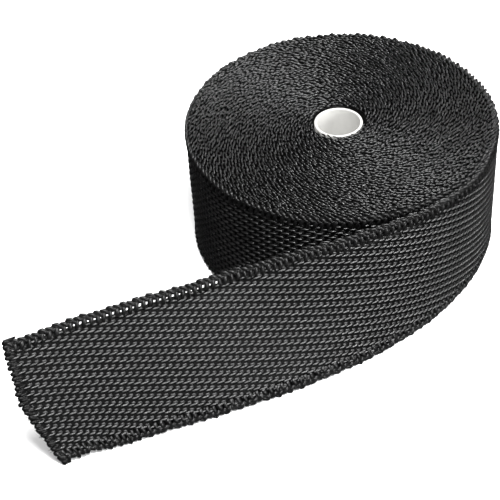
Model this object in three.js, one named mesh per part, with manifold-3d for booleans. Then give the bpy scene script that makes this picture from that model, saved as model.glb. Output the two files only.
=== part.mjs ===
// A roll of woven exhaust heat wrap on its white core tube, standing on end, with the loose end drawn out.
// Millimetres, +Z up. The origin is on the floor, under the middle of the whole piece.
import * as THREE from 'three';
import { mergeVertices } from 'three/addons/utils/BufferGeometryUtils.js';
import Module from 'manifold-3d';

// The tape
const tapeWidth = 50;
const tapeThickness = 1.3;

// The core tube
const coreOuterRadius = 9;
const coreWall = 1;
const coreProud = 0.4;
const coreEdge = 0.2;
const coreClearance = 0.3;

// The wound turns. They lie looser along the upper edge, so that the roll widens upwards, and on one side,
// so that the outermost turn is off the core's centre by sideSlack, towards sideAngle in degrees.
const turns = 36;
const windingSlack = 0.015;
const upperSlack = 0.06;
const sideSlack = 0.9;
const sideAngle = -32;
const outerTurnSeat = 0.1;
const edgeGroove = 0.9;
const edgeUnevenness = 0.35;
const unevennessWave = 2.4;
const flatShare = 0.7;
const roundSteps = 32;

// The loose end: where it leaves the roll, in degrees, its first bend, and how far along it runs straight
const tailAngle = -17.4;
const tailFirstRadius = 85;
const tailStraightAt = 156;
const tailLength = 205;
const tailSteps = 22;

// How far it leans back towards the roll, in degrees: along its length, and at its end
const tailLean = 25.5;
const leanFrom = 12;
const leanTo = 126;
const endLean = 24;

// Its end is cut back along the lower half
const cutBack = 9.5;
const cutHeight = 25;
const cutRun = 40;
const widthSteps = 4;

// The turned solid holds every turn but the last, which is the near end of the loose tape
const wound = turns - 1;
const flatTurn = Math.round(wound / 2);
const lowerPitch = tapeThickness + windingSlack;
const upperPitch = tapeThickness + upperSlack;
const rollInner = coreOuterRadius + coreClearance;
const lowerRadius = rollInner + wound * lowerPitch;
const upperRadius = rollInner + wound * upperPitch;
const taperLean = -Math.atan((upperRadius - lowerRadius) / tapeWidth);
const stepAngle = 2 * Math.PI / roundSteps;
const side = THREE.MathUtils.degToRad(sideAngle);

const wasm = await Module();
wasm.setup();

// A closed geometry as a manifold-3d solid.
function solidOf(geometry) {
  const bare = geometry.clone();
  bare.deleteAttribute('normal');
  bare.deleteAttribute('uv');
  const merged = mergeVertices(bare, 1e-4);
  return new wasm.Manifold(new wasm.Mesh({
    numProp: 3,
    vertProperties: new Float32Array(merged.attributes.position.array),
    triVerts: new Uint32Array(merged.index.array),
  }));
}

// A manifold-3d solid as a geometry.
function geometryOf(solid) {
  const mesh = solid.getMesh();
  const geometry = new THREE.BufferGeometry();
  geometry.setAttribute('position', new THREE.BufferAttribute(mesh.vertProperties, 3));
  geometry.setIndex(new THREE.BufferAttribute(mesh.triVerts, 1));
  geometry.computeVertexNormals();
  return geometry;
}

// A ring turned about Z from a closed outline of [radius, height], given anticlockwise.
function turned(outline) {
  const points = [...outline, outline[0]].map(([r, z]) => new THREE.Vector2(r, z));
  const geometry = new THREE.LatheGeometry(points, roundSteps);
  geometry.rotateX(Math.PI / 2);
  geometry.rotateZ(THREE.MathUtils.degToRad(tailAngle));
  return geometry;
}

// The core tube, with a small chamfer at each end.
function coreTube() {
  const inner = coreOuterRadius - coreWall;
  const top = tapeWidth + coreProud;
  return turned([
    [inner, 0],
    [coreOuterRadius - coreEdge, 0],
    [coreOuterRadius, coreEdge],
    [coreOuterRadius, top - coreEdge],
    [coreOuterRadius - coreEdge, top],
    [inner, top],
  ]);
}

// The wound turns: each turn's edge is a crest with a groove on either side. One lower crest is flat.
function woundTurns() {
  const lower = [];
  const upper = [];
  for (let turn = 0; turn < wound; turn++) {
    const start = rollInner + turn * lowerPitch;
    lower.push([start, edgeGroove]);
    if (turn === flatTurn) {
      lower.push([start + lowerPitch * (1 - flatShare) / 2, 0]);
      lower.push([start + lowerPitch * (1 + flatShare) / 2, 0]);
    } else {
      lower.push([start + lowerPitch / 2, 0]);
    }
    const drop = edgeUnevenness * (1 + Math.sin(unevennessWave * turn)) / 2;
    upper.push([rollInner + turn * upperPitch, tapeWidth - edgeGroove]);
    upper.push([rollInner + (turn + 0.5) * upperPitch, tapeWidth - drop]);
  }
  lower.push([lowerRadius, edgeGroove]);
  upper.push([upperRadius, tapeWidth - edgeGroove]);
  const geometry = turned([...lower, ...upper.reverse()]);
  const position = geometry.getAttribute('position');
  for (let i = 0; i < position.count; i++) {
    const [x, y, z] = [position.getX(i), position.getY(i), position.getZ(i)];
    const outermost = THREE.MathUtils.lerp(lowerRadius, upperRadius, z / tapeWidth);
    const shift = sideSlack * (Math.hypot(x, y) - rollInner) / (outermost - rollInner);
    position.setXY(i, x + shift * Math.cos(side), y + shift * Math.sin(side));
  }
  return geometry;
}

// Where the tape's lower edge runs, s millimetres past the point where it leaves the roll. Before that
// point it is the last turn, which climbs from the turn below it to its own thickness in one round.
function lowerEdge(s) {
  const away = THREE.MathUtils.degToRad(tailAngle);
  if (s <= 0) {
    const back = -s / lowerRadius;
    const proud = (tapeThickness - outerTurnSeat) * (1 - back / (2 * Math.PI));
    const radius = lowerRadius - tapeThickness / 2 + proud;
    const angle = away + back;
    return {
      x: sideSlack * Math.cos(side) + radius * Math.cos(angle),
      y: sideSlack * Math.sin(side) + radius * Math.sin(angle),
      heading: angle - Math.PI / 2,
    };
  }
  const start = lowerEdge(0);
  const pieces = Math.ceil(s);
  const length = s / pieces;
  const spot = { x: start.x, y: start.y, heading: start.heading };
  for (let i = 0; i < pieces; i++) {
    const middle = (i + 0.5) * length;
    const heading = start.heading - (middle - middle * middle / (2 * tailStraightAt)) / tailFirstRadius;
    spot.x += length * Math.cos(heading);
    spot.y += length * Math.sin(heading);
    spot.heading = heading;
  }
  return spot;
}

// How far the tape leans back towards the roll, in radians.
function leanAt(s) {
  const middle = THREE.MathUtils.degToRad(tailLean);
  const end = THREE.MathUtils.degToRad(endLean);
  const first = THREE.MathUtils.smoothstep(s, leanFrom, leanTo);
  const last = THREE.MathUtils.smoothstep(s, leanTo, tailLength);
  return taperLean + first * (middle - taperLean) + last * (end - middle);
}

// The place of a point of the flat tape: s along it, across from its lower edge, and out from its middle.
function onTape(s, across, out) {
  const edge = lowerEdge(s);
  const lean = leanAt(s);
  const lift = Math.abs(Math.sin(lean)) * tapeThickness / 2;
  const inward = new THREE.Vector3(Math.sin(edge.heading), -Math.cos(edge.heading), 0);
  const along = across * Math.sin(lean) - out * Math.cos(lean);
  return new THREE.Vector3(edge.x, edge.y, lift + across * Math.cos(lean) + out * Math.sin(lean))
    .addScaledVector(inward, along);
}

// The last turn and the loose end: a flat box of tape, bent along its path.
function looseTape() {
  const stations = [];
  for (let i = roundSteps - 1; i > 0; i--) stations.push(-i * stepAngle * lowerRadius);
  for (let i = 0; i <= tailSteps; i++) stations.push(tailLength * i / tailSteps);
  const steps = stations.length - 1;
  const flat = new THREE.BoxGeometry(steps, tapeThickness, tapeWidth, steps, 1, widthSteps);
  const position = flat.getAttribute('position');
  for (let i = 0; i < position.count; i++) {
    const across = position.getZ(i) + tapeWidth / 2;
    const station = stations[Math.round(position.getX(i) + steps / 2)];
    const cut = cutBack * Math.max(0, 1 - across / cutHeight);
    const s = station - cut * Math.max(0, 1 - (tailLength - station) / cutRun);
    const place = onTape(s, across, position.getY(i));
    position.setXYZ(i, place.x, place.y, place.z);
  }
  return flat;
}

const tapeMaterial = new THREE.MeshStandardMaterial({ color: 0x1c1c1c, roughness: 0.75, metalness: 0 });
const coreMaterial = new THREE.MeshStandardMaterial({ color: 0xe9e8e4, roughness: 0.6, metalness: 0 });

const roll = new THREE.Group();

const tape = new THREE.Mesh(geometryOf(solidOf(woundTurns()).add(solidOf(looseTape()))), tapeMaterial);
tape.name = 'wrap_tape';
roll.add(tape);

const core = new THREE.Mesh(coreTube(), coreMaterial);
core.name = 'core_tube';
roll.add(core);

const box = new THREE.Box3().setFromObject(roll, true);
const middle = box.getCenter(new THREE.Vector3());
roll.position.set(-middle.x, -middle.y, -box.min.z);

export default roll;
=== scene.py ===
"""Exhaust heat wrap: a roll of black woven tape on a white core tube, its loose end drawn out in front."""

import math

import bmesh
import bpy
import numpy as np
from mathutils import Matrix, Vector


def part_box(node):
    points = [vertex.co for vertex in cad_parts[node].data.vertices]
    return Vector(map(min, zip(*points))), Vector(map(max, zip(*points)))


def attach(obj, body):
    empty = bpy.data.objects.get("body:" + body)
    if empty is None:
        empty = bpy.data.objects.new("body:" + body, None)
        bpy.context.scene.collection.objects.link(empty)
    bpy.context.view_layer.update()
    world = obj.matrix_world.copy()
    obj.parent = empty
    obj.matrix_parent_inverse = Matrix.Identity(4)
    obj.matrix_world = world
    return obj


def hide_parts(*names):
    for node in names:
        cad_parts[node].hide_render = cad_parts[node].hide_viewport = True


bl_info = {
    "name": "Exhaust Heat Wrap",
    "version": (1, 0, 0),
    "blender": (4, 5, 0),
    "location": "View3D > Sidebar > Heat Wrap",
    "description": "Builds a roll of woven exhaust heat wrap with its loose end drawn out",
    "category": "Add Mesh",
}

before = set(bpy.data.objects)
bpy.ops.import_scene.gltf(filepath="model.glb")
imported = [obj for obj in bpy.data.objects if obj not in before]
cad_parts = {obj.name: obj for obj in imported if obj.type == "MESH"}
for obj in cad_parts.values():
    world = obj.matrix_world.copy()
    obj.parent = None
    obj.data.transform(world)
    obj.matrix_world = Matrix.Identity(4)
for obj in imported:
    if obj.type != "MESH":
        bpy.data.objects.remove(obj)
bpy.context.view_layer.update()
core_low, core_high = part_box("core_tube")

MM = 0.001
BODY = "root"
AXIS = (core_low + core_high) / 2
CORE_RADIUS = (core_high.x - core_low.x) / 2
CORE_TOP = core_high.z
# The twill repeats after this many yarns, and the lower looped edge is this share of the upper one's width
TWILL_REPEAT = 4
LOWER_BAND_SHARE = 0.75


# Sizes and colours


def length_setting(label, description, millimetres):
    """A length that can be changed."""
    return bpy.props.FloatProperty(
        name=label, description=description, default=millimetres * MM, unit="LENGTH"
    )


def angle_setting(label, description, degrees):
    """An angle that can be changed."""
    return bpy.props.FloatProperty(
        name=label, description=description, default=math.radians(degrees), subtype="ANGLE"
    )


def colour_setting(label, description, colour):
    """A colour that can be changed."""
    return bpy.props.FloatVectorProperty(
        name=label, description=description, default=colour, subtype="COLOR"
    )


class TapeSizes(bpy.types.PropertyGroup):
    """The tape and how it is wound. Lengths are in millimetres, angles in degrees."""

    width: length_setting("Width", "Width of the tape", 50)
    thickness: length_setting("Thickness", "Thickness of the tape", 1.3)
    turns: bpy.props.IntProperty(
        name="Turns", description="Turns on the roll, the last one included", default=36
    )
    lower_slack: length_setting("Lower slack", "Room between turns along the lower edge", 0.015)
    upper_slack: length_setting("Upper slack", "Room between turns along the upper edge", 0.06)
    core_clearance: length_setting("Core clearance", "Room between the core tube and the first turn", 0.3)
    side_slack: length_setting("Side slack", "How far the outermost turn is off the core's centre", 0.9)
    side_angle: angle_setting("Side angle", "Direction in which the outer turns lie looser", -32)
    seat: length_setting("Seat", "How far the last turn beds into the one below", 0.1)
    tail_angle: angle_setting("Tail angle", "Where the tape leaves the roll", -17.4)
    tail_radius: length_setting("Tail radius", "Radius of the loose end's first bend", 85)
    tail_straight: length_setting(
        "Straight at", "Distance along the loose end at which it runs straight", 156
    )
    tail_length: length_setting("Tail length", "Length of the loose end", 205)
    tail_lean: angle_setting("Tail lean", "How far the loose end leans back", 25.5)
    end_lean: angle_setting("End lean", "How far the cut end leans back", 24)
    lean_from: length_setting("Lean from", "Where the lean begins", 12)
    lean_to: length_setting("Lean to", "Where the lean is complete", 126)
    cut_back: length_setting("Cut back", "How far the end's lower corner is cut back", 9.5)
    cut_height: length_setting("Cut height", "Height of the slanted cut", 25)
    cut_run: length_setting("Cut run", "Length of tape over which the weave follows the cut", 40)


class WeaveSizes(bpy.types.PropertyGroup):
    """The weave: a two-and-two twill with looped edges. Lengths are in millimetres."""

    pick: length_setting("Pick", "Distance between cross yarns", 2.38)
    warp: length_setting("Warp", "Distance between long yarns", 0.705)
    float_length: length_setting("Float length", "Length of a long yarn's float", 3.5)
    float_width: length_setting("Float width", "Width of a float", 0.74)
    float_height: length_setting("Float height", "Thickness of a float", 0.8)
    float_turn: angle_setting("Float turn", "How far a float is turned out of the tape's direction", 3)
    skew: bpy.props.FloatProperty(
        name="Skew", description="How far the cross yarns run askew near the cut end", default=0.1
    )
    patch_length: length_setting("Patch length", "Length of a cross yarn's float, across the tape", 1.6)
    patch_width: length_setting("Patch width", "Width of a cross yarn", 2.3)
    edge_band: length_setting("Edge band", "Width of the looped edge beside the cloth", 3.4)
    loop_yarn: length_setting("Loop yarn", "Radius of the edge yarns", 0.55)
    seed: bpy.props.IntProperty(name="Seed", description="Seed of the weave's unevenness", default=7)


class CoreSizes(bpy.types.PropertyGroup):
    """The core tube. Lengths are in millimetres."""

    wall: length_setting("Wall", "Wall of the core tube", 1)
    rim: length_setting("Rim", "Radius of the tube's rounded rims", 0.3)
    sunk: length_setting("Sunk", "How far the tube's rim is sunk between the yarns round it", 1.0)


class Finish(bpy.types.PropertyGroup):
    """Colours. The deep yarn colour is painted shade, laid into the yarn's hollows."""

    yarn: colour_setting("Yarn", "The yarn's raised parts", (0.036, 0.036, 0.037))
    # Painted shade: the colour the yarn takes in its hollows, where the material darkens it
    yarn_painted_shade: colour_setting("Deep yarn", "The yarn's hollows", (0.001, 0.001, 0.001))
    core: colour_setting("Core", "The core tube", (0.42, 0.416, 0.4))
    floor: colour_setting("Floor", "The floor", (0.9, 0.9, 0.9))


PROPERTY_GROUPS = {
    "wrap_tape": TapeSizes,
    "wrap_weave": WeaveSizes,
    "wrap_core": CoreSizes,
    "wrap_finish": Finish,
}


# Node trees


class Value:
    """A node's output that takes part in sums as a number does."""

    def __init__(self, graph, socket):
        self.graph = graph
        self.socket = socket

    def _math(self, operation, first, second):
        return self.graph.add("ShaderNodeMath", {"operation": operation}, {0: first, 1: second})

    def __add__(self, other):
        return self._math("ADD", self, other)

    def __radd__(self, other):
        return self._math("ADD", other, self)

    def __sub__(self, other):
        return self._math("SUBTRACT", self, other)

    def __mul__(self, other):
        return self._math("MULTIPLY", self, other)

    def __rmul__(self, other):
        return self._math("MULTIPLY", other, self)

    def __truediv__(self, other):
        return self._math("DIVIDE", self, other)

    def __mod__(self, other):
        return self._math("FLOORED_MODULO", self, other)

    def whole(self):
        """The whole number below."""
        return self._math("FLOOR", self, 0.0)

    def between(self, low, high):
        """The value, held between two bounds."""
        return self._math("MINIMUM", self._math("MAXIMUM", self, low), high)


class Graph:
    """A node tree under construction."""

    def __init__(self, tree):
        self.tree = tree

    def add(self, kind, settings=None, sockets=None, output=0):
        """Adds a node, sets its settings and then its sockets, and gives one of its outputs."""
        node = self.tree.nodes.new(kind)
        for name, setting in (settings or {}).items():
            setattr(node, name, setting)
        for key, value in (sockets or {}).items():
            if isinstance(value, Value):
                self.tree.links.new(value.socket, node.inputs[key])
            else:
                node.inputs[key].default_value = value
        return Value(self, node.outputs[output]) if len(node.outputs) else None

    def vector(self, x=0.0, y=0.0, z=0.0):
        """A vector of three numbers."""
        return self.add("ShaderNodeCombineXYZ", sockets={"X": x, "Y": y, "Z": z})

    def points(self, count, place):
        """That many points, each at its place."""
        return self.add("GeometryNodePoints", sockets={"Count": count, "Position": place})

    def random(self, seed, salt, low=0.0, high=1.0):
        """A random number for each point, from low to high. Each salt draws numbers of its own."""
        return self.add(
            "FunctionNodeRandomValue", {"data_type": "FLOAT"}, {2: low, 3: high, 8: seed + salt}, output=1
        )

    def shaded(self, instances, shade):
        """Instances that each keep how light their yarn is."""
        return self.add(
            "GeometryNodeStoreNamedAttribute",
            {"data_type": "FLOAT", "domain": "INSTANCE"},
            {"Geometry": instances, "Name": "shade", "Value": shade},
        )


def geometry_tree(name, whole_numbers, measures, objects=()):
    """A Geometry Nodes tree with these named inputs and a material, its graph, and the inputs as values."""
    inputs = {
        **dict.fromkeys(whole_numbers, "NodeSocketInt"),
        **dict.fromkeys(measures, "NodeSocketFloat"),
        **dict.fromkeys(objects, "NodeSocketObject"),
        "Material": "NodeSocketMaterial",
    }
    tree = bpy.data.node_groups.new(name, "GeometryNodeTree")
    tree.interface.new_socket("Geometry", in_out="OUTPUT", socket_type="NodeSocketGeometry")
    for label, kind in inputs.items():
        tree.interface.new_socket(label, in_out="INPUT", socket_type=kind)
    graph = Graph(tree)
    source = tree.nodes.new("NodeGroupInput")
    values = {label: Value(graph, source.outputs[label]) for label in inputs}
    return tree, graph, values


def finish_tree(graph, instances, material):
    """Ends a tree: realizes its instances and gives them their material."""
    real = graph.add("GeometryNodeRealizeInstances", sockets={"Geometry": instances})
    made = graph.add("GeometryNodeSetMaterial", sockets={"Geometry": real, "Material": material})
    graph.add("NodeGroupOutput", sockets={"Geometry": made})


def grown(name, tree, values):
    """An object whose plain mesh is what the tree makes from these inputs."""
    piece = bpy.data.objects.new(name, bpy.data.meshes.new(name))
    bpy.context.scene.collection.objects.link(piece)
    modifier = piece.modifiers.new(name, "NODES")
    modifier.node_group = tree
    for item in tree.interface.items_tree:
        if item.item_type == "SOCKET" and item.in_out == "INPUT":
            modifier[item.identifier] = values[item.name]
    bpy.context.view_layer.update()
    evaluated = piece.evaluated_get(bpy.context.evaluated_depsgraph_get())
    mesh = bpy.data.meshes.new_from_object(evaluated)
    piece.modifiers.remove(modifier)
    piece.data = mesh
    return piece


def yarn_pebbles(graph, points, size, turn, seed, spread, rings=4):
    """Instances of one short length of yarn on the points. Its size along, across and out of the tape
    varies by the spread."""
    ball = graph.add("GeometryNodeMeshUVSphere", sockets={"Segments": 6, "Rings": rings, "Radius": 0.5})
    ball = graph.add(
        "GeometryNodeTransform", sockets={"Geometry": ball, "Rotation": (0, math.pi / 2, 0)}
    )
    uneven = [
        measure * graph.random(seed, salt, 1 - spread, 1 + spread)
        for salt, measure in enumerate(size, start=1)
    ]
    instances = graph.add(
        "GeometryNodeInstanceOnPoints",
        sockets={"Points": points, "Instance": ball, "Rotation": turn, "Scale": graph.vector(*uneven)},
    )
    return graph.shaded(instances, graph.random(seed, 4))


WEAVE_MEASURES = (
    "Start",
    "End",
    "Skew",
    "Middle",
    "First warp",
    "Out",
    "Pick",
    "Warp",
    "Length",
    "Width",
    "Height",
)
# How far a yarn's size varies, as a share
WEAVE_SPREAD = 0.1
# Where on the loose end the cross yarns begin to run askew, and over what length they come to
SKEW_FROM = 20 * MM
SKEW_RUN = 130 * MM
# How many long yarns a row of patches lies beside the floats
PATCH_SHIFT = 1.7


def weave_points(graph, given, along, across):
    """Points on the flat tape, one for each index, askew towards the cut end and none beyond it."""
    askew = given["Skew"] * ((along - SKEW_FROM) / SKEW_RUN).between(0.0, 1.0)
    along = along + askew * (across - given["Middle"])
    points = graph.points(given["Count"], graph.vector(along, across, given["Out"]))
    position = graph.add("GeometryNodeInputPosition")
    reached = graph.add("ShaderNodeSeparateXYZ", sockets={"Vector": position})
    beyond_cut = graph.add(
        "FunctionNodeCompare",
        {"data_type": "FLOAT", "operation": "GREATER_THAN"},
        {0: reached, 1: given["End"]},
    )
    return graph.add("GeometryNodeDeleteGeometry", sockets={"Geometry": points, "Selection": beyond_cut})


def float_tree():
    """The long yarns' floats of a twill, on one face of the flat tape."""
    tree, graph, given = geometry_tree(
        "Twill floats", ("Count", "Warps", "Seed"), (*WEAVE_MEASURES, "Turn")
    )
    index = graph.add("GeometryNodeInputIndex")
    warp = index % given["Warps"]
    along = (index / given["Warps"]).whole()
    points = weave_points(
        graph,
        given,
        given["Start"] + (along * TWILL_REPEAT + warp % TWILL_REPEAT) * given["Pick"],
        given["First warp"] + warp * given["Warp"],
    )
    size = (given["Length"], given["Width"], given["Height"])
    turn = graph.vector(z=given["Turn"])
    pebbles = yarn_pebbles(graph, points, size, turn, given["Seed"], WEAVE_SPREAD)
    finish_tree(graph, pebbles, given["Material"])
    return tree


def patch_tree():
    """The cross yarns' floats of a twill, between the rows of long yarns, on one face of the flat tape."""
    tree, graph, given = geometry_tree("Twill patches", ("Count", "Rows", "Seed"), WEAVE_MEASURES)
    index = graph.add("GeometryNodeInputIndex")
    row = index % given["Rows"]
    pick = (index / given["Rows"]).whole()
    warp = (pick + PATCH_SHIFT) % TWILL_REPEAT + row * TWILL_REPEAT
    points = weave_points(
        graph,
        given,
        given["Start"] + (pick + 0.5) * given["Pick"],
        given["First warp"] + warp * given["Warp"],
    )
    size = (given["Width"], given["Length"], given["Height"])
    pebbles = yarn_pebbles(graph, points, size, (0, 0, 0), given["Seed"], WEAVE_SPREAD, rings=3)
    finish_tree(graph, pebbles, given["Material"])
    return tree


def edge_tree():
    """The loops of a wound edge, seen end-on: two short slanted lengths of yarn to each pick."""
    tree, graph, given = geometry_tree(
        "Wound edge",
        ("Count", "Seed"),
        (
            "Start",
            "Step",
            "Across",
            "Out",
            "Unevenness",
            "Stagger",
            "Length",
            "Width",
            "Height",
            "Slant",
            "Slant spread",
        ),
    )
    seed = given["Seed"]
    size_spread = 0.18
    most_shift, most_turn = 0.35, 0.35
    index = graph.add("GeometryNodeInputIndex")
    side = (index % 2.0) * 2.0 - 1.0
    shift = given["Step"] * graph.random(seed, 12, -most_shift, most_shift)
    place = graph.vector(
        given["Start"] + index * given["Step"] + shift,
        given["Across"] + given["Unevenness"] * graph.random(seed, 11, -1.0, 1.0),
        given["Out"] + side * given["Stagger"] * graph.random(seed, 13, 0.6, 1.3),
    )
    points = graph.points(given["Count"], place)
    uneven = graph.random(seed, 14, -1.0, 1.0) + graph.random(seed, 15, -1.0, 1.0)
    slant = given["Slant"] + given["Slant spread"] * uneven
    turn = graph.vector(y=slant, z=graph.random(seed, 16, -most_turn, most_turn))
    size = (given["Length"], given["Height"], given["Width"])
    pebbles = yarn_pebbles(graph, points, size, turn, seed, size_spread)
    finish_tree(graph, pebbles, given["Material"])
    return tree


def repeat_tree():
    """A length of yarn repeated along the tape."""
    tree, graph, given = geometry_tree("Repeated yarn", ("Count", "Seed"), ("Start", "Step"), ("Pattern",))
    index = graph.add("GeometryNodeInputIndex")
    points = graph.points(given["Count"], graph.vector(given["Start"] + index * given["Step"]))
    pattern = graph.add("GeometryNodeObjectInfo", sockets={"Object": given["Pattern"]}, output="Geometry")
    instances = graph.add(
        "GeometryNodeInstanceOnPoints", sockets={"Points": points, "Instance": pattern}
    )
    shaded = graph.shaded(instances, graph.random(given["Seed"], 0))
    finish_tree(graph, shaded, given["Material"])
    return tree


# Where the tape lies


class Route:
    """Where each point of the flat tape lies: s along it from where it leaves the roll, positive towards
    its cut end, across from its lower edge, and out from its middle, away from the roll."""

    def __init__(self, tape):
        self.tape = tape
        self.inner = CORE_RADIUS + tape.core_clearance
        self.pitch = tape.thickness + tape.lower_slack
        self.spread = tape.upper_slack - tape.lower_slack
        wound = tape.turns - 1
        self.outer = self.inner + wound * self.pitch + tape.thickness / 2 - tape.seat
        self.wound_length = self.length_back(2 * math.pi * wound)
        self.last_turn = self.length_back(2 * math.pi)
        self.table = np.arange(0.0, tape.tail_length + 0.02, 0.5 * MM)
        bend = (self.table - self.table**2 / (2 * tape.tail_straight)) / tape.tail_radius
        self.headings = tape.tail_angle - math.pi / 2 - bend
        step = self.table[1]
        cos, sin = np.cos(self.headings), np.sin(self.headings)
        self.xs = np.concatenate([[0.0], np.cumsum((cos[1:] + cos[:-1]) / 2 * step)])
        self.ys = np.concatenate([[0.0], np.cumsum((sin[1:] + sin[:-1]) / 2 * step)])

    def length_back(self, angle):
        """The tape's length from where it leaves the roll back to this angle of winding."""
        return self.outer * angle - self.pitch * angle**2 / (4 * math.pi)

    def angle_back(self, length):
        """The angle of winding at this length of tape back from where it leaves the roll."""
        root = np.sqrt(np.maximum(self.outer**2 - self.pitch * length / math.pi, 1e-9))
        return (self.outer - root) * 2 * math.pi / self.pitch

    def place(self, points):
        """The places in the scene for an array of flat points."""
        tape = self.tape
        s, across, out = points[:, 0].copy(), points[:, 1], points[:, 2]
        cut = tape.cut_back * np.clip(1 - across / tape.cut_height, 0, None)
        s -= cut * np.clip(1 - (tape.tail_length - s) / tape.cut_run, 0, None)
        back = self.angle_back(np.clip(-s, 0, None))
        radius = self.outer - self.pitch * back / (2 * math.pi)
        share = (radius - self.inner) / (self.outer - self.inner)
        angle = tape.tail_angle + back
        free = np.clip(s, 0, None)
        x = radius * np.cos(angle) + np.interp(free, self.table, self.xs)
        y = radius * np.sin(angle) + np.interp(free, self.table, self.ys)
        x += share * tape.side_slack * math.cos(tape.side_angle)
        y += share * tape.side_slack * math.sin(tape.side_angle)
        heading = np.where(s > 0, np.interp(free, self.table, self.headings), angle - math.pi / 2)
        taper = -np.arctan(self.spread * tape.turns * share / tape.width)
        first = smooth((s - tape.lean_from) / (tape.lean_to - tape.lean_from))
        last = smooth((s - tape.lean_to) / (tape.tail_length - tape.lean_to))
        lean = taper + first * (tape.tail_lean - taper) + last * (tape.end_lean - tape.tail_lean)
        inward = across * np.sin(lean) - out * np.cos(lean)
        x += np.sin(heading) * inward
        y -= np.cos(heading) * inward
        z = np.abs(np.sin(lean)) * tape.thickness / 2 + across * np.cos(lean) + out * np.sin(lean)
        return np.stack([x + AXIS.x, y + AXIS.y, z], axis=1)


def smooth(share):
    """Eases a share from 0 to 1."""
    share = np.clip(share, 0, 1)
    return share * share * (3 - 2 * share)


def lay(piece, route, out_of_shade, unevenness=0.0):
    """Lays a flat piece along the route. Keeps how far each point stands out of the hollows, which the
    material turns into painted shade, and its flat place, as attributes for the material."""
    mesh = piece.data
    flat = np.empty(len(mesh.vertices) * 3, np.float32)
    mesh.vertices.foreach_get("co", flat)
    flat = flat.reshape(-1, 3)
    store(mesh, "out_of_shade", out_of_shade(flat))
    keep_flat(mesh, flat)
    flat = wavering(flat, unevenness)
    mesh.vertices.foreach_set("co", route.place(flat.astype(float)).astype(np.float32).ravel())
    mesh.update()
    mesh.shade_smooth()


# The length of each wave, and its share of the unevenness
WAVES = ((31 * MM, 0.45), (11.3 * MM, 0.35), (4.1 * MM, 0.35))


def wavering(flat, most):
    """Flat points moved a little along and across the tape, by a few waves of unlike lengths."""
    moved = flat.copy()
    for wave, (length, share) in enumerate(WAVES):
        for axis in (0, 1):
            phase = 2 * math.pi * flat[:, 0] / length + 2 * wave + 1.3 * axis
            moved[:, axis] += most * share * np.sin(phase)
    return moved


def out_of_cloth(low, high):
    """How far a point stands out of the cloth on either face, as a share from low to high."""
    return lambda flat: np.clip((np.abs(flat[:, 2]) - low) / (high - low), 0, 1)


def beyond(edge, depth):
    """How far a point stands towards an edge of the tape, as a share of a depth inside it."""
    return lambda flat: np.clip(1 - (edge - flat[:, 1]) / depth, 0, 1)


def store(mesh, name, numbers):
    """Keeps one number for each point of a mesh."""
    attribute = mesh.attributes.get(name) or mesh.attributes.new(name, "FLOAT", "POINT")
    attribute.data.foreach_set("value", np.asarray(numbers, np.float32))


def keep_flat(mesh, flat):
    """Keeps each point's place on the flat tape."""
    attribute = mesh.attributes.new("flat_place", "FLOAT_VECTOR", "POINT")
    attribute.data.foreach_set("vector", np.ascontiguousarray(flat, np.float32).ravel())


# Mesh makers


def object_of(name, verts, faces, material):
    """A mesh object with its normals facing out."""
    mesh = bpy.data.meshes.new(name)
    mesh.from_pydata([tuple(v) for v in verts], [], faces)
    work = bmesh.new()
    work.from_mesh(mesh)
    bmesh.ops.recalc_face_normals(work, faces=work.faces)
    work.to_mesh(mesh)
    work.free()
    mesh.materials.append(material)
    piece = bpy.data.objects.new(name, mesh)
    bpy.context.scene.collection.objects.link(piece)
    return piece


# No yarn runs this way, so it can set how the sides of a tube are turned
NOT_ALONG_YARN = (0.0, 0.31, 0.95)


def tube(path, radius, sides):
    """A closed tube along a path of points, of one radius or one for each point: vertices and faces."""
    path = np.asarray(path, float)
    radius = np.broadcast_to(radius, len(path))[:, None, None]
    ahead = np.gradient(path, axis=0)
    ahead /= np.linalg.norm(ahead, axis=1)[:, None]
    side = np.cross(ahead, NOT_ALONG_YARN)
    side /= np.linalg.norm(side, axis=1)[:, None]
    up = np.cross(side, ahead)
    turn = np.arange(sides) * 2 * math.pi / sides
    rings = (
        path[:, None, :]
        + radius * np.cos(turn)[None, :, None] * side[:, None, :]
        + radius * np.sin(turn)[None, :, None] * up[:, None, :]
    )
    return ring_faces(rings)


def ring_faces(rings):
    """Vertices and faces of a closed skin over rings of points."""
    count, sides = rings.shape[:2]
    faces = []
    for i in range(count - 1):
        for j in range(sides):
            k = (j + 1) % sides
            faces.append((i * sides + j, i * sides + k, (i + 1) * sides + k, (i + 1) * sides + j))
    faces.append(tuple(reversed(range(sides))))
    faces.append(tuple((count - 1) * sides + j for j in range(sides)))
    return rings.reshape(-1, 3), faces


def joined(parts):
    """Several (vertices, faces) as one."""
    verts, faces, start = [], [], 0
    for some_verts, some_faces in parts:
        verts.append(some_verts)
        faces += [tuple(start + i for i in face) for face in some_faces]
        start += len(some_verts)
    return np.concatenate(verts), faces


# Materials


BUMP_DEPTH = 0.05 * MM
# Filaments are long along the tape and fine across it
FILAMENT_SCALE = (400, 4200, 4200)
# The core's darker mottles, as a share of its colour
CORE_MOTTLE_SHADE = 0.93


def new_material(name):
    """An empty material and its graph."""
    material = bpy.data.materials.new(name)
    material.use_nodes = True
    material.node_tree.nodes.clear()
    return material, Graph(material.node_tree)


def finish_material(graph, sockets):
    """Ends a material's tree with its shader."""
    shader = graph.add("ShaderNodeBsdfPrincipled", sockets=sockets)
    graph.add("ShaderNodeOutputMaterial", sockets={"Surface": shader})


def kept(graph, name, output="Fac"):
    """What the mesh keeps under a name for each point."""
    return graph.add("ShaderNodeAttribute", {"attribute_name": name}, output=output)


def noise(graph, place, scale, detail):
    """Uneven numbers that depend on the place."""
    return graph.add("ShaderNodeTexNoise", sockets={"Vector": place, "Scale": scale, "Detail": detail})


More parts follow.
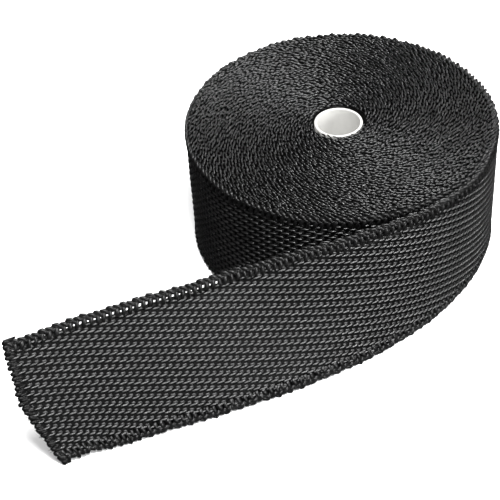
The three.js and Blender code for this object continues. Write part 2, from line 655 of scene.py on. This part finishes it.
def mixed(graph, share, first, second):
    """A colour between two others."""
    return graph.add(
        "ShaderNodeMix",
        {"data_type": "RGBA"},
        {0: share, 6: (*first, 1), 7: (*second, 1)},
        output=2,
    )


def bumped(graph, strength, height):
    """Fine relief as a normal."""
    return graph.add(
        "ShaderNodeBump", sockets={"Strength": strength, "Distance": BUMP_DEPTH, "Height": height}
    )


def yarn_material(name, gloss, lightness):
    """Black glass yarn: painted shade darkening its hollows, each float a little different, with fine
    filaments.
    """
    finish = bpy.context.scene.wrap_finish
    material, graph = new_material(name)
    out_of_shade, shade = kept(graph, "out_of_shade"), kept(graph, "shade")
    flat = kept(graph, "flat_place", "Vector")
    stretch = graph.add(
        "ShaderNodeMapping", {"vector_type": "POINT"}, {"Vector": flat, "Scale": FILAMENT_SCALE}
    )
    filaments = noise(graph, stretch, 1.0, 2.0)
    patches = noise(graph, flat, 90.0, 3.0)
    # Painted shade towards the hollows, times a random tone for each yarn, its filaments and its mottling
    shade_and_tone = out_of_shade * (0.55 + 0.45 * shade) * (0.35 + 1.3 * filaments) * (0.6 + 0.8 * patches)
    finish_material(
        graph,
        {
            "Base Color": mixed(graph, shade_and_tone * lightness, finish.yarn_painted_shade, finish.yarn),
            "Roughness": 0.28 + 0.22 * patches,
            "Normal": bumped(graph, 0.5, filaments),
            "Specular IOR Level": gloss,
        },
    )
    return material


def core_material():
    """Off-white tube with fine mottling."""
    finish = bpy.context.scene.wrap_finish
    material, graph = new_material("core_white")
    mottle = noise(graph, graph.add("ShaderNodeTexCoord", output="Object"), 700.0, 4.0)
    darker = [CORE_MOTTLE_SHADE * part for part in finish.core]
    finish_material(
        graph,
        {
            "Base Color": mixed(graph, mottle, darker, finish.core),
            "Roughness": 0.4 + 0.15 * mottle,
            "Normal": bumped(graph, 0.15, mottle),
        },
    )
    return material


def floor_material():
    """Plain pale floor."""
    material, graph = new_material("floor_pale")
    colour = (*bpy.context.scene.wrap_finish.floor, 1)
    finish_material(graph, {"Base Color": colour, "Roughness": 0.9, "Specular IOR Level": 0.1})
    return material


# The gloss and the lightness of the yarn in each part of the tape
YARNS = {
    "ground": (0.05, 0.15),
    "floats": (1.0, 0.15),
    # The cross yarns' patches are lighter than the floats of the same yarn: painted sheen, the light they
    # catch on the loose end
    "patches": (0.45, 0.3),
    "edges": (0.85, 0.04),
    "loops": (0.35, 0.1),
    "cut": (0.15, 0.12),
}


def yarn(part):
    """The material of one part's yarn, made the first time it is asked for."""
    name = f"yarn_{part}"
    return bpy.data.materials.get(name) or yarn_material(name, *YARNS[part])


def settle(piece):
    """A finished piece rides on the roll."""
    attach(piece, BODY)


# Pieces


class BuildWoundTape(bpy.types.Operator):
    """Winds the tape's inner turns, one long ribbon from the core to the last turn"""

    bl_idname = "heat_wrap.wound_tape"
    bl_label = "Wound tape"

    def execute(self, context):
        tape = context.scene.wrap_tape
        route = Route(tape)
        steps_round = 72
        last_angle = 2 * math.pi * 0.96
        angles = np.arange(2 * math.pi * (tape.turns - 1), last_angle, -2 * math.pi / steps_round)
        ribbon_share = 0.86
        half = tape.thickness / 2 * ribbon_share
        shoulder = 1.3 * MM
        edge = 0.9 * MM
        section = np.array(
            [
                (edge, 0.0),
                (shoulder, half),
                (tape.width - shoulder, half),
                (tape.width - edge, 0.0),
                (tape.width - shoulder, -half),
                (shoulder, -half),
            ]
        )
        lengths = -route.length_back(angles)
        rings = np.empty((len(angles), len(section), 3))
        rings[:, :, 0] = lengths[:, None]
        rings[:, :, 1:] = section[None, :, :]
        piece = object_of("wound_tape", *ring_faces(rings), yarn("ground"))
        lay(piece, route, out_of_cloth(0.0, tape.thickness))
        route.wound_length - route.last_turn
        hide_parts("wrap_tape")
        settle(piece)
        return {"FINISHED"}


class BuildLooseTape(bpy.types.Operator):
    """Lays the cloth of the last turn and the loose end, under its floats"""

    bl_idname = "heat_wrap.loose_tape"
    bl_label = "Loose tape"

    def execute(self, context):
        tape, weave = context.scene.wrap_tape, context.scene.wrap_weave
        route = Route(tape)
        # The cloth laps a little over the turn below, and stops short of its frayed yarns
        lap = 1.03
        frayed = 1.2 * MM
        spacing = 1.5 * MM
        stations = np.arange(-route.last_turn * lap, tape.tail_length - frayed, spacing)
        rows = 16
        half = 0.2 * MM
        across = np.linspace(weave.edge_band * LOWER_BAND_SHARE, tape.width - weave.edge_band, rows)
        rings = np.empty((len(stations), 2 * rows, 3))
        rings[:, :, 0] = stations[:, None]
        rings[:, :rows, 1] = across
        rings[:, rows:, 1] = across[::-1]
        rings[:, :rows, 2] = half
        rings[:, rows:, 2] = -half
        piece = object_of("loose_tape", *ring_faces(rings), yarn("ground"))
        lay(piece, route, out_of_cloth(0.1 * MM, 0.4 * MM))
        settle(piece)
        return {"FINISHED"}


class BuildFloats(bpy.types.Operator):
    """Lays the long yarns' floats on the last turn and on both faces of the loose end"""

    bl_idname = "heat_wrap.floats"
    bl_label = "Twill floats"

    def execute(self, context):
        tape, weave = context.scene.wrap_tape, context.scene.wrap_weave
        route = Route(tape)
        float_maker, patch_maker = float_tree(), patch_tree()
        first = weave.edge_band * LOWER_BAND_SHARE + weave.warp / 2
        warps = int((tape.width - weave.edge_band - first) / weave.warp) + 1
        rows = warps // TWILL_REPEAT
        repeat = TWILL_REPEAT * weave.pick
        turn_repeats = int(route.last_turn / repeat)
        tail_repeats = int((tape.tail_length + weave.skew * tape.width) / repeat) + 1
        faces = {
            "last_turn": (-turn_repeats * repeat, turn_repeats, 1),
            "loose_front": (0.0, tail_repeats, 1),
            "loose_back": (0.0, tail_repeats, -1),
        }
        bare_end = 2.6 * MM
        shared = {
            "End": tape.tail_length - bare_end,
            "Skew": weave.skew,
            "Middle": tape.width / 2,
            "First warp": first,
            "Pick": weave.pick,
            "Warp": weave.warp,
            "Seed": weave.seed,
        }
        # How far out of the tape's middle the patches and floats lie, and the floats' crests
        patch_out, patch_height = 0.12 * MM, 0.5 * MM
        float_out, float_top = 0.36 * MM, 0.74 * MM
        for name, (start, repeats, side) in faces.items():
            patches = {
                **shared,
                "Count": repeats * TWILL_REPEAT * rows,
                "Rows": rows,
                "Start": start,
                "Out": side * patch_out,
                "Length": weave.patch_length,
                "Width": weave.patch_width,
                "Height": patch_height,
                "Material": yarn("patches"),
            }
            floats = {
                **shared,
                "Count": repeats * warps,
                "Warps": warps,
                "Start": start,
                "Out": side * float_out,
                "Length": weave.float_length,
                "Width": weave.float_width,
                "Height": weave.float_height,
                "Turn": -side * weave.float_turn,
                "Material": yarn("floats"),
            }
            # The depths between which the painted shade in the hollows gives way to the yarn's colour
            for kind, maker, values, low, high in (
                ("patches", patch_maker, patches, 0.1 * MM, float_out),
                ("floats", float_maker, floats, float_out, float_top),
            ):
                piece = grown(f"{kind}_{name}", maker, values)
                lay(piece, route, out_of_cloth(low, high))
                settle(piece)
        return {"FINISHED"}


class BuildWoundEdges(bpy.types.Operator):
    """Sets the looped edges of the inner turns on both ends of the roll"""

    bl_idname = "heat_wrap.wound_edges"
    bl_label = "Wound edges"

    def execute(self, context):
        tape, weave = context.scene.wrap_tape, context.scene.wrap_weave
        route = Route(tape)
        tree = edge_tree()
        inner_half = route.length_back(2 * math.pi * (tape.turns - 1) * 0.3)
        under_last = route.last_turn * 0.97
        top, bottom = tape.width - 0.35 * MM, 0.5 * MM
        fine, coarse = 1.22 * MM, 2.3 * MM
        depth = 0.9 * MM
        # Where each edge begins and ends along the tape, its place across and out, its step and its depth,
        # over which painted shade darkens it below the edge
        ends = {
            "upper_edges_inner": (inner_half, route.wound_length, top, 0.0, fine, depth),
            "upper_edges_outer": (under_last, inner_half, top, 0.0, fine, depth),
            "upper_edges_last": (-75 * MM, 60 * MM, top - 0.3 * MM, -0.75 * MM, fine, depth),
            "lower_edges": (under_last, route.wound_length, bottom, 0.0, coarse, -depth),
        }
        for name, (near, far, across, out, step, depth) in ends.items():
            piece = grown(
                name,
                tree,
                {
                    "Count": int((far - near) / step),
                    "Start": -far,
                    "Step": step,
                    "Across": across,
                    "Out": out,
                    "Unevenness": 0.28 * MM,
                    "Stagger": 0.3 * MM,
                    "Length": 1.9 * MM * (step / fine) ** 0.5,
                    "Width": 0.6 * MM,
                    "Height": 0.8 * MM,
                    "Slant": math.radians(22),
                    "Slant spread": math.radians(10),
                    "Seed": weave.seed,
                    "Material": yarn("edges"),
                },
            )
            # Painted shade: the loops darken away from the edge, down between the turns
            lay(piece, route, beyond(across + math.copysign(0.4 * MM, across - tape.width / 2), depth))
            settle(piece)
        return {"FINISHED"}


class BuildSelvages(bpy.types.Operator):
    """Loops the cross yarn round both edges of the last turn and the loose end"""

    bl_idname = "heat_wrap.selvages"
    bl_label = "Looped edges"

    def execute(self, context):
        tape, weave = context.scene.wrap_tape, context.scene.wrap_weave
        route = Route(tape)
        tree = repeat_tree()
        step = 2 * weave.pick
        count = int((tape.tail_length + route.last_turn) / step)
        start = tape.tail_length - count * step - 0.6 * MM
        for edge in ("upper", "lower"):
            loop = self.pattern(context, edge)
            piece = grown(
                f"{edge}_loops",
                tree,
                {
                    "Pattern": loop,
                    "Count": count,
                    "Start": start + weave.pick,
                    "Step": step,
                    "Seed": weave.seed,
                    "Material": yarn("loops"),
                },
            )
            bpy.data.objects.remove(loop)
            self.draw_in(piece.data, tape)
            lay(piece, route, out_of_cloth(-0.3 * MM, 0.75 * MM), 0.4 * MM)
            settle(piece)
        return {"FINISHED"}

    def draw_in(self, mesh, tape):
        """Draws the loops in towards the cloth near the cut end."""
        reach, run, most = 26 * MM, 12 * MM, 0.9 * MM
        for vertex in mesh.vertices:
            share = smooth((vertex.co.x - tape.tail_length + reach) / run)
            vertex.co.y += math.copysign(most * share, tape.width / 2 - vertex.co.y)

    def pattern(self, context, edge):
        """One repeat of an edge: a loop of cross yarn, and two binding yarns twisted round it."""
        tape, weave = context.scene.wrap_tape, context.scene.wrap_weave
        band = weave.edge_band
        pick = weave.pick
        thick = weave.loop_yarn
        parts = []
        for shift, height in ((-0.5, 1.0), (0.5, 0.88)):
            foot, shoulder, top = 0.45 * band, 0.74 * band * height, band * height
            crown = [
                ((shift - 0.6) * pick, foot, 0.3 * MM),
                ((shift - 0.48) * pick, shoulder, 0.5 * MM),
                ((shift - 0.2) * pick, top, 0.3 * MM),
                ((shift + 0.2) * pick, top, -0.3 * MM),
                ((shift + 0.48) * pick, shoulder, -0.5 * MM),
                ((shift + 0.6) * pick, foot, -0.3 * MM),
            ]
            parts.append(tube(crown, thick * 1.1, 6))
        leg_widths = np.array([1.6, 1.55, 1.2])
        for leg in (-0.5, 0.5):
            path = [
                ((leg + 0.22) * pick, -0.7 * MM, 0.0),
                ((leg + 0.02) * pick, 0.3 * band, 0.15 * MM),
                ((leg - 0.24) * pick, 0.7 * band, -0.1 * MM),
            ]
            parts.append(tube(path, leg_widths * thick, 6))
        twist, bulge = 0.32 * MM, 0.5 * MM
        turn = np.linspace(0, 2 * math.pi, 9)
        for phase in (0, math.pi):
            strand = [
                (
                    (a / math.pi - 1) * pick,
                    0.66 * band + twist * math.sin(a + phase),
                    bulge * math.cos(a + phase),
                )
                for a in turn
            ]
            parts.append(tube(strand, thick * 0.85, 6))
        verts, faces = joined(parts)
        if edge == "upper":
            verts[:, 1] += tape.width - band - weave.loop_yarn
        else:
            above_floor = 0.6 * MM
            verts[:, 1] = band * 0.95 + weave.loop_yarn * 0.4 - verts[:, 1]
            verts[:, 1] += above_floor
        return object_of(f"{edge}_pattern", verts, faces, yarn("loops"))


class BuildCutEnd(bpy.types.Operator):
    """Frays the tape's cut end"""

    bl_idname = "heat_wrap.cut_end"
    bl_label = "Cut end"

    def execute(self, context):
        tape, weave = context.scene.wrap_tape, context.scene.wrap_weave
        route = Route(tape)
        rng = np.random.default_rng(weave.seed)
        parts = []
        # How far out each layer of stubs lies, and their spacing and thickness in millimetres
        layers = ((-1, 0.72, 0.5), (1, 0.72, 0.5), (-0.6, 1.9, 0.85), (0.6, 1.9, 0.85))
        widths = np.array([0.6, 0.9, 1.0, 0.5])
        for layer, step, thick in layers:
            first = (0.7 + (step + layer) / 4) * MM
            for height in np.arange(first, tape.width - 0.6 * MM, step * MM):
                tip = tape.tail_length - (rng.uniform(-0.1, 0.9) + 1.4 - step * 0.75) * MM
                lift = (0.28 * layer + rng.normal(0, 0.12)) * MM
                drift = rng.normal(0, 0.25 * MM)
                stub = [
                    (tip - 3.4 * MM, height, 0.02 * layer * MM),
                    (tip - 1.7 * MM, height + 0.3 * drift, lift),
                    (tip - 0.5 * MM, height + 0.8 * drift, 1.1 * lift),
                    (tip, height + drift, 1.2 * lift),
                ]
                parts.append(tube(stub, widths * thick * MM, 6))
        fibres = 70
        for _ in range(fibres):
            height = rng.uniform(0.3 * MM, tape.width - 0.3 * MM)
            length = rng.uniform(0.5 * MM, 1.5 * MM)
            lift = rng.normal(0, 0.4 * MM)
            drift = rng.normal(0, 0.5 * MM)
            start = tape.tail_length - rng.uniform(0.4, 1.6) * MM
            share = np.linspace(0, 1, 4)
            fibre = np.stack(
                [start + length * share, height + drift * share**2, lift * share**1.5], axis=1
            )
            parts.append(tube(fibre, 0.07 * MM, 4))
        piece = object_of("cut_end", *joined(parts), yarn("cut"))
        lay(piece, route, out_of_cloth(-0.3 * MM, 0.9 * MM))
        settle(piece)
        return {"FINISHED"}


class BuildCore(bpy.types.Operator):
    """Turns the core tube with rounded rims"""

    bl_idname = "heat_wrap.core"
    bl_label = "Core tube"

    def execute(self, context):
        core = context.scene.wrap_core
        inner = CORE_RADIUS - core.wall
        centre = CORE_RADIUS - core.wall / 2
        profile = []
        top = CORE_TOP - core.sunk
        arc_steps = 6
        for rim_z, start in ((core.rim, math.pi), (top - core.rim, 0.0)):
            for i in range(arc_steps + 1):
                a = start + math.pi * i / arc_steps
                profile.append((centre + core.wall / 2 * math.cos(a), rim_z + core.rim * math.sin(a)))
        profile.insert(arc_steps + 1, (CORE_RADIUS, CORE_TOP * 0.5))
        profile.append((inner, CORE_TOP * 0.5))
        rings = []
        steps_round = 96
        for i in range(steps_round):
            a = 2 * math.pi * i / steps_round
            rings.append([(AXIS.x + r * math.cos(a), AXIS.y + r * math.sin(a), z) for r, z in profile])
        count = len(profile)
        faces = [
            (
                i * count + j,
                i * count + (j + 1) % count,
                (i + 1) % steps_round * count + (j + 1) % count,
                (i + 1) % steps_round * count + j,
            )
            for i in range(steps_round)
            for j in range(count)
        ]
        verts = np.array(rings).reshape(-1, 3)
        material = bpy.data.materials.get("core_white") or core_material()
        piece = object_of("core_sleeve", verts, faces, material)
        piece.data.shade_smooth()
        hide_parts("core_tube")
        settle(piece)
        return {"FINISHED"}


# Stage


class BuildStage(bpy.types.Operator):
    """Sets the floor, the lights and the camera"""

    bl_idname = "heat_wrap.stage"
    bl_label = "Stage"

    def execute(self, context):
        self.floor(context)
        self.lights(context)
        self.camera(context)
        return {"FINISHED"}

    def floor(self, context):
        """A pale floor under the roll."""
        reach = 4.0
        corners = [(-reach, -reach, 0), (reach, -reach, 0), (reach, reach, 0), (-reach, reach, 0)]
        mesh = bpy.data.meshes.new("floor")
        mesh.from_pydata(corners, [], [(0, 1, 2, 3)])
        mesh.materials.append(floor_material())
        floor = bpy.data.objects.new("floor", mesh)
        context.scene.collection.objects.link(floor)
        floor.visible_glossy = False

    def lights(self, context):
        """Soft lights above, right, low in front and behind, and a wide one that fills the shadows."""
        # Each one's place, its size in metres and its power in watts
        panels = {
            "above": ((0.1, -0.6, 1.4), 0.4, 40.0),
            "right": ((0.8, 0.25, 1.3), 0.3, 24.0),
            "front_right": ((1.1, -1.0, 0.35), 0.5, 19.0),
            "back": ((-0.35, 1.2, 0.5), 0.4, 2.5),
            "fill": ((0.0, 0.0, 2.0), 3.0, 64.0),
        }
        for name, (place, size, watts) in panels.items():
            light = bpy.data.lights.new(f"light_{name}", "AREA")
            light.size = size
            light.energy = watts
            lamp = bpy.data.objects.new(f"light_{name}", light)
            lamp.location = place
            aim = Vector((0, 0, 0.02)) - Vector(place)
            lamp.rotation_euler = aim.to_track_quat("-Z", "Y").to_euler()
            lamp.visible_glossy = name != "fill"
            context.scene.collection.objects.link(lamp)
        world = bpy.data.worlds.new("surround")
        context.scene.world = world
        world.use_nodes = True
        world.node_tree.nodes.clear()
        graph = Graph(world.node_tree)
        surround = graph.add("ShaderNodeBackground", sockets={"Color": (1, 1, 1, 1), "Strength": 0.05})
        graph.add("ShaderNodeOutputWorld", sockets={"Surface": surround})
        context.scene.view_settings.view_transform = "Standard"

    def camera(self, context):
        """The camera of the photograph: the roll's top centre is seen at a given pixel of 500 by 500."""
        frame_width = 500
        focal_pixels = 2307.4
        distance = 0.85
        elevation = math.radians(39.768)
        roll = math.radians(2.642)
        top_pixel = (338.44, 120.54)
        ahead = Vector((0, math.cos(elevation), -math.sin(elevation)))
        up = Vector((0, math.sin(elevation), math.cos(elevation)))
        right = Vector((1, 0, 0))
        to_right = (top_pixel[0] - frame_width / 2) / focal_pixels * distance
        to_top = (frame_width / 2 - top_pixel[1]) / focal_pixels * distance
        cos, sin = math.cos(roll), math.sin(roll)
        camera_right = cos * right - sin * up
        camera_up = sin * right + cos * up
        target = Vector((AXIS.x, AXIS.y, context.scene.wrap_tape.width))
        place = target - distance * ahead - to_right * camera_right - to_top * camera_up
        data = bpy.data.cameras.new("camera")
        data.sensor_width = 36
        data.lens = data.sensor_width * focal_pixels / frame_width
        data.clip_start = 0.01
        camera = bpy.data.objects.new("camera", data)
        turn = Matrix((camera_right, camera_up, -ahead)).transposed().to_4x4()
        camera.matrix_world = Matrix.Translation(place) @ turn
        context.scene.collection.objects.link(camera)
        context.scene.camera = camera


OPERATORS = (
    BuildWoundTape,
    BuildLooseTape,
    BuildFloats,
    BuildWoundEdges,
    BuildSelvages,
    BuildCutEnd,
    BuildCore,
    BuildStage,
)


class HeatWrapPanel(bpy.types.Panel):
    """Lists the pieces of the roll."""

    bl_idname = "VIEW3D_PT_heat_wrap"
    bl_label = "Heat Wrap"
    bl_space_type = "VIEW_3D"
    bl_region_type = "UI"
    bl_category = "Heat Wrap"

    def draw(self, context):
        for operator in OPERATORS:
            self.layout.operator(operator.bl_idname)


def register():
    for group in PROPERTY_GROUPS.values():
        bpy.utils.register_class(group)
    for name, group in PROPERTY_GROUPS.items():
        setattr(bpy.types.Scene, name, bpy.props.PointerProperty(type=group))
    for operator in OPERATORS:
        bpy.utils.register_class(operator)
    bpy.utils.register_class(HeatWrapPanel)


def unregister():
    bpy.utils.unregister_class(HeatWrapPanel)
    for operator in reversed(OPERATORS):
        bpy.utils.unregister_class(operator)
    for name, group in PROPERTY_GROUPS.items():
        delattr(bpy.types.Scene, name)
        bpy.utils.unregister_class(group)


def main():
    register()
    for operator in OPERATORS:
        group, name = operator.bl_idname.split(".")
        getattr(getattr(bpy.ops, group), name)()


if __name__ == "__main__":
    main()
